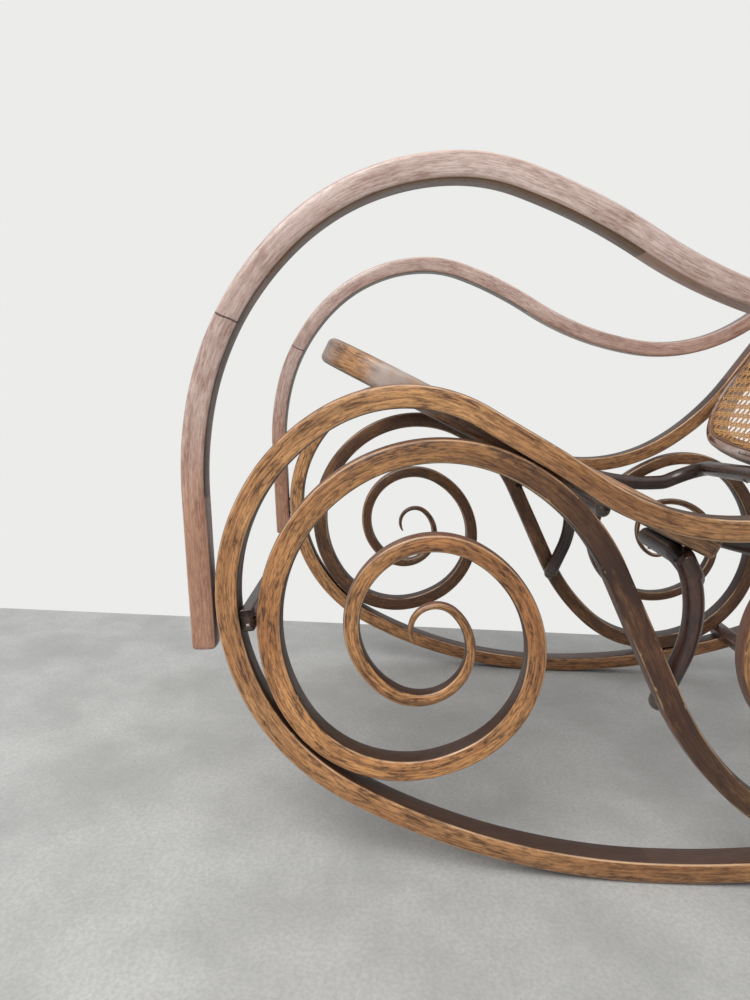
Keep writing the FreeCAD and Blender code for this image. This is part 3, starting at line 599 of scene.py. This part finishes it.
    def strand(self, start, way, kind, span, middle):
        """One split-cane strand: rings of points with its attributes."""
        _, width, thick, lie, swing, axis = STRANDS[kind]
        count = max(4, int((span[1] - span[0]) / (CANE_PITCH / ROWS_A_PITCH)))
        along = np.linspace(span[0], span[1], count)[:, None]
        line = start + along * way
        lift = lie + swing * np.cos((line[:, axis] - middle[axis]) / CANE_PITCH * 2 * math.pi)
        width *= rng.uniform(0.92, 1.06)
        drift = rng.uniform(-0.00018, 0.00018)
        across = STRAND_SHAPE[None, :, 0] * width + drift
        high = STRAND_SHAPE[None, :, 1] * thick
        flat = line[:, None, :] + np.array([-way[1], way[0]]) * across[..., None]
        out = self.thick - CANE_THICK / 2 + lift[:, None] * WEAVE_HEIGHT + high
        rings = self.world(flat[..., 0], flat[..., 1], out)
        tone = np.full(rings.shape[:2], rng.uniform(0, 1))
        return rings, tone, fibre_coordinates(across, high, along + rng.uniform(0, 9))


def clip_line(edge, start, way):
    """Where a line enters and leaves a closed convex outline, as lengths from its start."""
    ahead = np.roll(edge, -1, axis=0)
    side = np.array([-way[1], way[0]])
    a, b = (edge - start) @ side, (ahead - start) @ side
    crossing = np.nonzero((a <= 0) != (b <= 0))[0]
    if len(crossing) < 2:
        return None
    share = a[crossing] / (a[crossing] - b[crossing])
    hits = edge[crossing] + (ahead[crossing] - edge[crossing]) * share[:, None]
    along = (hits - start) @ way
    return along.min(), along.max()


def join_strands(name, node, bands):
    """All the strands of one panel as one woven mesh."""
    sides, ends = [], []
    done = 0
    for rings, _, _ in bands:
        count, around = rings.shape[:2]
        index = done + np.arange(count * around).reshape(count, around)
        beside = np.roll(index, -1, axis=1)
        quads = [index[:-1], index[1:], beside[1:], beside[:-1]]
        sides += np.stack(quads, axis=-1).reshape(-1, 4).tolist()
        ends += [index[0].tolist(), index[-1, ::-1].tolist()]
        done += count * around
    points = np.concatenate([rings.reshape(-1, 3) for rings, _, _ in bands])
    tone = np.concatenate([tone.ravel() for _, tone, _ in bands])
    fibre = np.concatenate([fibre.reshape(-1, 3) for _, _, fibre in bands])
    mesh = make_mesh(name, points, sides + ends, tone=tone, fibre=fibre)
    add_piece(name, mesh, "cane", node)


def rounded_path(points, radii):
    """Straight runs joined by tangent arcs, as evenly spaced points with tangents and lengths."""
    points = [Vector(point) for point in points]
    rows = []

    def run(start, end):
        count = max(1, int((end - start).length / STEP))
        for k in range(count):
            rows.append(start.lerp(end, k / count))

    here = points[0]
    for before, corner, after, radius in zip(points, points[1:], points[2:], radii):
        back, ahead = (before - corner).normalized(), (after - corner).normalized()
        half = back.angle(ahead) / 2
        reach = radius / math.tan(half)
        start, end = corner + back * reach, corner + ahead * reach
        centre = corner + (back + ahead).normalized() * (radius / math.sin(half))
        run(here, start)
        first, last = (start - centre).normalized(), (end - centre).normalized()
        count = max(3, int(radius * first.angle(last) / STEP))
        for k in range(count):
            rows.append(centre + first.slerp(last, k / count) * radius)
        here = end
    run(here, points[-1])
    rows.append(points[-1])
    line = np.array([tuple(point) for point in rows])
    tangent = np.gradient(line, axis=0)
    tangent /= np.linalg.norm(tangent, axis=1)[:, None]
    lengths = np.concatenate([[0], np.cumsum(np.linalg.norm(np.diff(line, axis=0), axis=1))])
    return line, tangent, lengths


def round_rod(name, node, points, radii, radius, seed, domed=True):
    """A bent round rod, slightly uneven, with domed or square-cut ends."""
    line, tangent, lengths = rounded_path(points, radii)
    normal = np.cross(tangent[0], (1, 0, 0) if abs(tangent[0][0]) < 0.9 else (0, 1, 0))
    normals = []
    for way in tangent:
        normal = normal - way * (normal @ way)
        normal /= np.linalg.norm(normal)
        normals.append(normal)
    scale = np.ones(len(line))
    if domed:
        angles = math.pi / 2 * np.arange(1, DOME_ROWS + 1) / DOME_SPREAD
        out, drawn = radius * np.sin(angles), np.cos(angles)
        line = np.concatenate([(line[0] - tangent[0] * out[:, None])[::-1], line,
                               line[-1] + tangent[-1] * out[:, None]])
        lengths = np.concatenate([(lengths[0] - out)[::-1], lengths, lengths[-1] + out])
        scale = np.concatenate([drawn[::-1], scale, drawn])
        tangent, normals = (np.pad(rows, ((DOME_ROWS, DOME_ROWS), (0, 0)), "edge")
                            for rows in (tangent, normals))
    normals = np.array(normals)
    binormals = np.cross(tangent, normals)
    angle = np.linspace(0, 2 * math.pi, ROD_POINTS, endpoint=False)
    uneven = waviness(lengths, ROD_POINTS, ROD_UNEVEN, seed)
    reach = (radius - ROD_UNEVEN + uneven) * scale[:, None]
    across, high = reach * np.cos(angle), reach * np.sin(angle)
    rings = (line[:, None, :] + normals[:, None, :] * across[..., None]
             + binormals[:, None, :] * high[..., None])
    fibre = fibre_coordinates(across, high, lengths[:, None] + ROD_SHIFT * seed)
    from_end = np.minimum(lengths - lengths[0], lengths[-1] - lengths)[:, None]
    tip = np.broadcast_to(np.clip(1 - from_end / BARE_END, 0, 1), across.shape)
    add_piece(name, tube_mesh(name, rings, fibre=fibre, tip=tip), "dark_wood", node)


seat = Panel("seat", 0, SEAT_DEPTH, SEAT_ROUNDS, SEAT_BENDS, SEAT_BAR, SEAT_THICK,
             (0, CONTACT_BACK - SEAT_FRONT, SEAT_FRONT_HEIGHT), -SEAT_SLOPE)
lean = bow.headings[-1]
back_foot = bow.nodes[-2] + direction(lean + 90) * (BACK_PROUD - BACK_THICK)
back = Panel("back", BACK_FOOT, BACK_HEAD, BACK_ROUNDS, BACK_BENDS, BACK_BAR, BACK_THICK,
             (0, back_foot[0] + CONTACT_BACK, back_foot[1]), lean)


def side_point(across, back_from_contact, height):
    """A point given by its place behind the floor contact."""
    return (across, back_from_contact + CONTACT_BACK, height)


def add_braces():
    """The two round braces under the seat, which reach inwards by different lengths."""
    under = seat.world(np.array(0.0), np.array(BRACE_SEAT), np.array(-BRACE_RADIUS))
    for hand, side, seed in (("left", 1, 21), ("right", -1, 22)):
        across = side * (SIDE_MIDDLE - SCROLL_WIDTH / 2 - BRACE_RADIUS)
        points = [side_point(across, *BRACE_FOOT), side_point(across, *BRACE_KNEE),
                  (across, under[1], under[2]), (side * BRACE_REACHES[hand], under[1], under[2])]
        round_rod(hand + "_brace_wood", hand + "_seat_brace", points, BRACE_BENDS, BRACE_RADIUS,
                  seed)


def add_back_bow():
    """The round bow behind the seat, under the foot of the caned back."""
    start = seat.world(np.array(0.0), np.array(BACK_BOW_SEAT), np.array(SEAT_THICK / 2))
    left = [(BACK_BOW_HALF, start[1], start[2])]
    left += [side_point(BACK_BOW_HALF, *place) for place in BACK_BOW_RUN]
    right = [(-x, y, z) for x, y, z in reversed(left)]
    round_rod("back_bow_wood", "back_bow", left + [side_point(0, *BACK_BOW_MIDDLE)] + right,
              BACK_BOW_BENDS, BACK_BOW_RADIUS, 23, domed=False)


def add_stretcher(node, back_from_contact, height, tilt, thick, seed):
    """A bar right across the chair, its long edges and its ends eased."""
    eased = STRETCHER_EASE * np.array([0, 0.1, 0.4, 1.0])
    inner = STRETCHER_HALF - STRETCHER_END
    along = np.concatenate([eased - STRETCHER_HALF, np.linspace(-inner, inner, STRETCHER_ROWS),
                            STRETCHER_HALF - eased[::-1]])
    scale = np.ones(len(along))
    scale[[0, -1]], scale[[1, -2]], scale[[2, -3]] = 0.90, 0.95, 0.985
    wide, high, ridge = section(np.full(len(along), STRETCHER_DEPTH),
                                np.full(len(along), thick), STRETCHER_CORNER, 0.0)
    uneven = waviness(along + STRETCHER_HALF, wide.shape[1], STRETCHER_UNEVEN, seed)
    grown = scale[:, None] * (1 + (uneven - STRETCHER_SUNK) / STRETCHER_REACH)
    wide, high = wide * grown, high * grown
    cos, sin = math.cos(math.radians(tilt)), math.sin(math.radians(tilt))
    rings = np.stack([np.broadcast_to(along[:, None], wide.shape),
                      back_from_contact + CONTACT_BACK + high * cos - wide * sin,
                      height + high * sin + wide * cos], axis=-1)
    fibre = fibre_coordinates(wide, high, along[:, None] + STRETCHER_SHIFT * seed)
    name = node + "_wood"
    mesh = tube_mesh(name, rings[:, ::-1], fibre=fibre[:, ::-1], ridge=ridge[:, ::-1])
    add_piece(name, mesh, "dark_wood", node)


def srgb(red, green, blue):
    """A colour as it looks, from 0 to 255, as the linear numbers of a socket."""
    def linear(value):
        value /= 255
        return value / 12.92 if value <= 0.04045 else ((value + 0.055) / 1.055) ** 2.4
    return (linear(red), linear(green), linear(blue), 1)


class Shader:
    """A short way to write a material's nodes."""

    def __init__(self, name):
        self.material = bpy.data.materials.new(name)
        self.material.use_nodes = True
        self.nodes = self.material.node_tree.nodes
        self.links = self.material.node_tree.links
        self.surface = self.nodes["Principled BSDF"]

    def put(self, socket, value):
        """Link a socket to another one, or set it to a value."""
        if isinstance(value, bpy.types.NodeSocket):
            self.links.new(value, socket)
        else:
            socket.default_value = value

    def attribute(self, name, output="Fac"):
        """An attribute of the mesh."""
        node = self.nodes.new("ShaderNodeAttribute")
        node.attribute_name = name
        return node.outputs[output]

    def math(self, operation, a, b=0.0, clamp=False):
        """One step of arithmetic."""
        node = self.nodes.new("ShaderNodeMath")
        node.operation, node.use_clamp = operation, clamp
        self.put(node.inputs[0], a)
        self.put(node.inputs[1], b)
        return node.outputs[0]

    def times(self, product, *values):
        """The product of numbers, from the left."""
        for value in values:
            product = self.math("MULTIPLY", product, value)
        return product

    def noise(self, vector, kind, to_low=0.0, to_high=1.0):
        """One of the noises listed in NOISES, brought to a range."""
        scale, detail, rough, distortion, low, high = NOISES[kind]
        stretch = self.nodes.new("ShaderNodeVectorMath")
        stretch.operation = "MULTIPLY"
        self.put(stretch.inputs[0], vector)
        stretch.inputs[1].default_value = scale
        node = self.nodes.new("ShaderNodeTexNoise")
        self.put(node.inputs["Vector"], stretch.outputs[0])
        node.inputs["Scale"].default_value = 1.0
        node.inputs["Detail"].default_value = detail
        node.inputs["Roughness"].default_value = rough
        node.inputs["Distortion"].default_value = distortion
        return self.span(node.outputs[0], low, high, to_low, to_high)

    def span(self, value, low, high, to_low=0.0, to_high=1.0):
        """A value brought smoothly from one range to another, and kept inside it."""
        node = self.nodes.new("ShaderNodeMapRange")
        node.interpolation_type = "SMOOTHSTEP"
        self.put(node.inputs[0], value)
        for index, number in enumerate((low, high, to_low, to_high), start=1):
            node.inputs[index].default_value = number
        return node.outputs[0]

    def mix(self, share, a, b, blend="MIX"):
        """Two colours mixed, or blended in another way."""
        node = self.nodes.new("ShaderNodeMix")
        node.data_type, node.blend_type = "RGBA", blend
        self.put(node.inputs[0], share)
        self.put(node.inputs[6], a)
        self.put(node.inputs[7], b)
        return node.outputs[2]

    def bump(self, height, strength, distance):
        """Fine relief on the surface."""
        node = self.nodes.new("ShaderNodeBump")
        node.inputs["Strength"].default_value = strength
        node.inputs["Distance"].default_value = distance
        self.put(node.inputs["Height"], height)
        self.put(self.surface.inputs["Normal"], node.outputs[0])


def wood(name):
    """Stained wood: specks, streaks and pores along the fibre, mottling, pale edges that are partly
    abraded and partly a painted highlight, and in bent woods painted sheen and painted shade on the
    faces in the plane of the bend.
    """
    s = Shader(name)
    look = PLAIN_WOOD | WOODS[name]
    dark = srgb(*look["dark"])
    fibre, ridge = s.attribute("fibre", "Vector"), s.attribute("ridge")
    speck, pore, blotch = (s.noise(fibre, kind) for kind in ("speck", "pore", "blotch"))
    colour = s.mix(s.noise(fibre, "tone"), srgb(*look["light"]), srgb(*look["middle"]))
    colour = s.mix(s.times(s.noise(fibre, "stripe"), look["streaks"]), colour, dark)
    colour = s.mix(s.times(blotch, look["mottle"]), colour, dark)
    grain = s.times(speck, look["specks"], s.span(blotch, 0.0, 1.0, 0.55, 1.0))
    colour = s.mix(grain, colour, dark)
    colour = s.mix(s.times(pore, 0.4), colour, dark)
    if look["tinted"]:
        patch = s.noise(fibre, "patch", 0.80, 1.0)
        depth = s.math("MULTIPLY", s.times(s.attribute("tint"), patch), look["tinted"], True)
        colour = s.mix(depth, colour, dark)
    # Painted sheen and shade: the convex face in the plane of the bend takes the flank colour,
    # partly a darker stain and partly painted sheen, and the concave face takes painted shade.
    if look["flank"]:
        side = s.span(s.attribute("flank"), -0.03, 0.05)
        hollow = s.span(s.attribute("hollow"), -0.15, 0.25)
        shade = s.mix(hollow, srgb(*look["flank"]), srgb(*look["hollow"]))
        colour = s.mix(s.times(side, 0.93), colour, s.mix(s.times(speck, 0.4), shade, dark))
    # Pale edges: partly abraded finish, partly a painted highlight along them.
    rubbed_and_highlight = s.times(s.span(ridge, 0.72, 1.0), s.noise(fibre, "edge_wear_and_highlight"), look["wear_and_highlight"])
    colour = s.mix(rubbed_and_highlight, colour, srgb(*look["ridge"]))
    chip = s.times(s.noise(fibre, "chip"), s.times(s.span(ridge, 0.2, 0.9), look["chips"]))
    colour = s.mix(chip, colour, srgb(205, 170, 128))
    s.put(s.surface.inputs["Roughness"], s.noise(fibre, "gloss", *look["rough"]))
    s.surface.inputs["Coat Weight"].default_value = look["coat"]
    s.surface.inputs["Coat Roughness"].default_value = 0.22
    relief = s.math("ADD", s.times(speck, 0.5), s.times(pore, 0.8))
    relief = s.math("ADD", relief, s.times(blotch, 0.5))
    s.bump(s.math("SUBTRACT", 1.0, relief), 0.35, 0.0002)
    return s, colour


def finish_wood(pair):
    """The material of a wood whose colour is complete."""
    s, colour = pair
    s.put(s.surface.inputs["Base Color"], colour)
    return s.material


def arm_wood(pair):
    """An arm: a scarf joint up the front, below which the stain is more golden."""
    s, colour = pair
    along = s.attribute("along")
    wobble = s.noise(s.attribute("fibre", "Vector"), "wobble", -0.0030, 0.0030)
    from_joint = s.math("ABSOLUTE", s.math("SUBTRACT", s.math("ADD", along, wobble), SCARF_PLACE))
    face = s.span(s.attribute("flank"), -0.03, 0.05, 1.0, 0.0)
    golden = s.times(face, s.span(along, 0.10, 0.26, 0.80, 0.12))
    colour = s.mix(golden, colour, srgb(208, 158, 112), "MULTIPLY")
    browned = s.times(face, s.span(along, 0.72, 0.90, 0.0, 0.35))
    colour = s.mix(browned, colour, srgb(176, 130, 96), "MULTIPLY")
    joint = s.span(from_joint, 0.0004, 0.0013, 0.85, 0.0)
    return finish_wood((s, s.mix(joint, colour, srgb(48, 26, 18))))


def panel_wood(pair):
    """A caned panel's frame: dark above, with painted shade below, and a pale grey painted sheen at
    its foot and in a strip farther up.
    """
    s, colour = pair
    flank, front = s.attribute("flank"), s.attribute("front")
    colour = s.mix(s.span(flank, 0.5, 0.9, 0.0, 0.55), colour, srgb(112, 66, 42))
    # Painted shade on the frame's undersides.
    colour = s.mix(s.span(flank, -0.9, -0.5, 0.80, 0.0), colour, srgb(52, 32, 26))
    # Painted sheen: a pale grey reflection at the frame's foot and in a strip farther up.
    sheen_cloud = s.noise(s.attribute("fibre", "Vector"), "sheen_cloud")
    tip = s.span(front, 0.84, 0.97, 0.0, 0.85)
    sheen_band = s.times(s.span(front, 0.30, 0.42), s.span(front, 0.62, 0.74, 0.8, 0.0))
    grey = s.times(s.math("ADD", tip, sheen_band, True), s.span(sheen_cloud, 0.0, 1.0, 0.45, 1.0))
    return finish_wood((s, s.mix(grey, colour, srgb(186, 176, 172))))


def rod_wood(pair):
    """A dark rod, greyish and dull at its bare ends."""
    s, colour = pair
    bare = s.span(s.attribute("tip"), 0.1, 0.9, 0.0, 0.6)
    return finish_wood((s, s.mix(bare, colour, srgb(98, 90, 80))))


def cane_material():
    """Split cane: glossy tan bark with fine lines along it, a shade apart from strand to strand."""
    s = Shader("woven_cane")
    fibre = s.attribute("fibre", "Vector")
    lines = s.noise(fibre, "cane_line")
    colour = s.mix(s.attribute("tone"), srgb(214, 164, 98), srgb(188, 134, 74))
    colour = s.mix(s.times(lines, 0.35), colour, srgb(138, 88, 42))
    colour = s.mix(s.times(s.noise(fibre, "cane_spot"), 0.45), colour, srgb(120, 74, 36))
    s.put(s.surface.inputs["Base Color"], colour)
    s.surface.inputs["Roughness"].default_value = 0.42
    s.surface.inputs["Coat Weight"].default_value = 0.15
    s.bump(lines, 0.25, 0.0001)
    return s.material


def steel_material():
    """Dull aged steel, with rust-brown in patches."""
    s = Shader("aged_steel")
    rust = s.noise(s.nodes.new("ShaderNodeTexCoord").outputs["Object"], "rust")
    s.put(s.surface.inputs["Base Color"], s.mix(rust, srgb(120, 112, 102), srgb(74, 56, 44)))
    s.surface.inputs["Metallic"].default_value = 0.85
    s.put(s.surface.inputs["Roughness"], s.span(rust, 0.0, 1.0, 0.35, 0.65))
    return s.material


def floor_material():
    """A matt grey floor. Beyond the wall line the camera sees the pale wall's colour instead."""
    s = Shader("pale_floor")
    place = s.nodes.new("ShaderNodeNewGeometry").outputs["Position"]
    split = s.nodes.new("ShaderNodeSeparateXYZ")
    s.put(split.inputs[0], place)
    colour = s.mix(s.noise(place, "floor_cloud"), srgb(168, 169, 168), srgb(192, 193, 192))
    colour = s.mix(s.times(s.noise(place, "floor_grit"), 0.35), colour, srgb(150, 151, 150))
    s.put(s.surface.inputs["Base Color"], colour)
    s.surface.inputs["Roughness"].default_value = 0.9
    s.surface.inputs["Specular IOR Level"].default_value = 0.1
    camera = s.nodes.new("ShaderNodeLightPath").outputs["Is Camera Ray"]
    beyond = s.math("LESS_THAN", split.outputs[0], WALL_LINE)
    glow = s.nodes.new("ShaderNodeEmission")
    glow.inputs["Color"].default_value = srgb(*WALL_LOOK)
    pick = s.nodes.new("ShaderNodeMixShader")
    s.put(pick.inputs[0], s.times(camera, beyond))
    s.put(pick.inputs[1], s.surface.outputs[0])
    s.put(pick.inputs[2], glow.outputs[0])
    s.put(s.nodes["Material Output"].inputs["Surface"], pick.outputs[0])
    return s.material


def dress(piece, material):
    """Give a piece one material."""
    piece.data.materials.clear()
    piece.data.materials.append(material)


def add_stage():
    """The floor that the chair stands on."""
    bpy.ops.mesh.primitive_plane_add(size=FLOOR_SIZE, location=(0, 0, -FLOOR_DROP))
    floor = bpy.context.object
    floor.name = "floor"
    dress(floor, floor_material())
    floor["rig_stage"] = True


def add_camera():
    """The photograph's viewpoint: beside the chair's left side, low and close, tipped down."""
    ahead, right, up = Vector((-1, 0, 0)), Vector((0, 1, 0)), Vector((0, 0, 1))

    def turned(first, second, angle):
        cos, sin = math.cos(math.radians(angle)), math.sin(math.radians(angle))
        return first * cos + second * sin, second * cos - first * sin

    ahead, right = turned(ahead, right, CAMERA_YAW)
    ahead, up = turned(ahead, up, -CAMERA_PITCH)
    right, up = turned(right, up, CAMERA_ROLL)
    data = bpy.data.cameras.new("camera")
    data.lens, data.sensor_width, data.clip_start = LENS, SENSOR, NEAREST
    camera = bpy.data.objects.new("camera", data)
    camera.matrix_world = Matrix((right, up, -ahead)).transposed().to_4x4()
    camera.location = CAMERA_PLACE
    bpy.context.scene.collection.objects.link(camera)
    bpy.context.scene.camera = camera


def add_sky():
    """An overcast sky, bright overhead and dimmer low down. The camera sees the wall's colour."""
    world = bpy.data.worlds.new("sky")
    bpy.context.scene.world = world
    world.use_nodes = True
    nodes, links = world.node_tree.nodes, world.node_tree.links
    coords = nodes.new("ShaderNodeTexCoord")
    split = nodes.new("ShaderNodeSeparateXYZ")
    links.new(coords.outputs["Generated"], split.inputs[0])
    ramp = nodes.new("ShaderNodeValToRGB")
    links.new(split.outputs["Z"], ramp.inputs[0])
    stops = ((0.0, SKY_LOW), (SKY_TOP, SKY_HIGH))
    for element, (place, value) in zip(ramp.color_ramp.elements, stops):
        element.position, element.color = place, (value, value, value, 1)
    paths = nodes.new("ShaderNodeLightPath")
    pick = nodes.new("ShaderNodeMix")
    pick.data_type = "RGBA"
    links.new(paths.outputs["Is Camera Ray"], pick.inputs[0])
    links.new(ramp.outputs[0], pick.inputs[6])
    pick.inputs[7].default_value = srgb(*WALL_LOOK)
    links.new(pick.outputs[2], nodes["Background"].inputs["Color"])


def add_key():
    """One soft square lamp from the camera's side."""
    data = bpy.data.lights.new("key", "AREA")
    data.size, data.energy, data.color = KEY_SIZE, KEY_POWER, KEY_COLOUR
    lamp = bpy.data.objects.new("key", data)
    lamp.location = KEY_PLACE
    aim = Vector(KEY_AIM) - Vector(KEY_PLACE)
    lamp.rotation_euler = aim.to_track_quat("-Z", "Y").to_euler()
    bpy.context.scene.collection.objects.link(lamp)


def dress_all():
    """Finish every piece. Arms and scrolls have their own kinds of bent wood."""
    arms, scrolls = arm_wood(wood("arm_bentwood_painted_sheen")), finish_wood(wood("scroll_bentwood"))
    finishes = {"bent_wood": finish_wood(wood("honey_bentwood")),
                "frame_wood": panel_wood(wood("frame_wood")),
                "dark_wood": rod_wood(wood("dark_rod")),
                "reed_spline": finish_wood(wood("reed")),
                "cane": cane_material(), "screw_steel": steel_material()}
    slots = {row["node"]: row["material_slot"] for row in frame["record"]["subparts"]}
    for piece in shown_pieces():
        node = piece.get("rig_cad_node")
        dress(piece, finishes[slots[node] if node else piece["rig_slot"]])
        if "arm_wood" in piece.name:
            dress(piece, arms)
        if "scroll_wood" in piece.name:
            dress(piece, scrolls)


add_sides()
add_braces()
add_back_bow()
add_stretcher("front_stretcher", -0.3842, 0.2409, 9.25, 0.0117, 31)
add_stretcher("rear_stretcher", 0.2937, 0.0793, -70.75, 0.0150, 32)
seat.add_frame(11)
seat.add_spline(12)
back.add_frame(13)
back.add_spline(14)
seat.add_weave()
back.add_weave()
add_stage()
add_camera()
add_sky()
add_key()
dress_all()

bpy.context.scene.view_settings.view_transform = "Standard"
